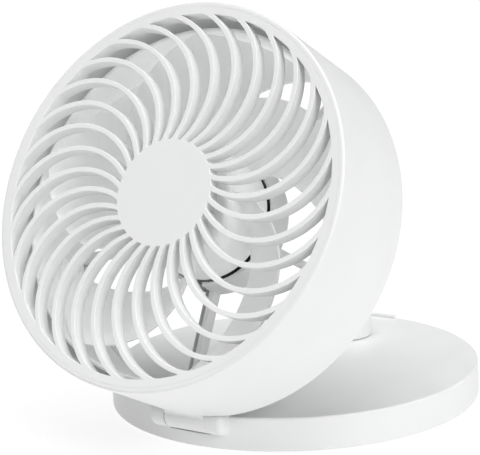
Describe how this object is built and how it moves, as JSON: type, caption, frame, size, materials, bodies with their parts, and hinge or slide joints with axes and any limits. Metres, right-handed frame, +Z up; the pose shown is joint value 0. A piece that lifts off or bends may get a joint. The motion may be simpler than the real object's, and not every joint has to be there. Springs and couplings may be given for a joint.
{
  "type": "desk fan",
  "caption": "Folding desk fan: a drum-shaped head with a spiral-ribbed grille and swept blades, hinged on a round battery base with a speed knob.",
  "frame": {"origin": "centre of the round base, on the underside of its non-slip pad", "axes": "+Z up; +X to the right of someone facing the fan; the fan blows towards -Y and a little upwards; the head hinge runs along X at the -Y edge of the base"},
  "size_m": [0.15, 0.1925, 0.165],
  "materials": {
    "white_plastic": "fine satin moulded ABS",
    "grey_rubber": "matt silicone",
    "grey_acetal": "smooth moulded acetal",
    "black_plastic": "matt",
    "light_pipe": "polished and translucent",
    "battery_wrap": "heat-shrink film",
    "circuit_board": "black solder mask",
    "steel": "bright zinc plate",
    "silicon_steel": "varnished laminations",
    "copper_wire": "enamelled copper",
    "brass": "turned",
    "magnet": "bonded ferrite"
  },
  "bodies": {
    "base": {"base_top_shell": "white_plastic", "base_bottom_cover": "white_plastic", "base_pad": "grey_rubber", "battery_pack": "battery_wrap", "control_board": "circuit_board", "speed_encoder": "black_plastic", "usb_socket": "steel", "charge_light": "light_pipe", "hinge_pin": "steel", "hinge_bush_left": "grey_acetal", "hinge_bush_right": "grey_acetal", "hinge_plug": "white_plastic", "base_screw_1": "steel", "base_screw_2": "steel", "base_screw_3": "steel", "base_screw_4": "steel", "board_screw_1": "steel", "board_screw_2": "steel"},
    "knob": {"speed_knob": "white_plastic", "encoder_shaft": "grey_acetal"},
    "head": {"outer_housing": "white_plastic", "duct_sleeve": "white_plastic", "duct_flange": "white_plastic", "front_grille": "white_plastic", "rear_ring": "white_plastic", "motor_mount": "white_plastic", "bearing_tube": "brass", "bearing_front": "steel", "bearing_rear": "steel", "stator_core": "silicon_steel", "winding_front": "copper_wire", "winding_rear": "copper_wire", "motor_board": "circuit_board", "motor_cable": "grey_rubber", "rear_screw_1": "steel", "rear_screw_2": "steel", "rear_screw_3": "steel", "rear_screw_4": "steel", "motor_screw_1": "steel", "motor_screw_2": "steel", "motor_screw_3": "steel"},
    "wheel": {"wheel_hub": "white_plastic", "blade_1": "white_plastic", "blade_2": "white_plastic", "blade_3": "white_plastic", "blade_4": "white_plastic", "blade_5": "white_plastic", "rotor_can": "steel", "rotor_magnet": "magnet", "motor_shaft": "steel", "shaft_clip": "steel"}
  },
  "joints": [
    {"name": "head_tilt", "type": "hinge", "parent": "base", "child": "head", "pos_m": [0, -0.0737, 0.0115], "axis": [1, 0, 0], "range_deg": [-62.65, 27.35]},
    {"name": "knob_turn", "type": "hinge", "parent": "base", "child": "knob", "pos_m": [0, 0.0415, 0.0142], "axis": [0, 0, -1], "range_deg": [0, 280]},
    {"name": "wheel_spin", "type": "hinge", "parent": "head", "child": "wheel", "pos_m": [0, -0.04286, 0.07852], "axis": [0, -0.8882, 0.4594], "continuous": true}
  ]
}
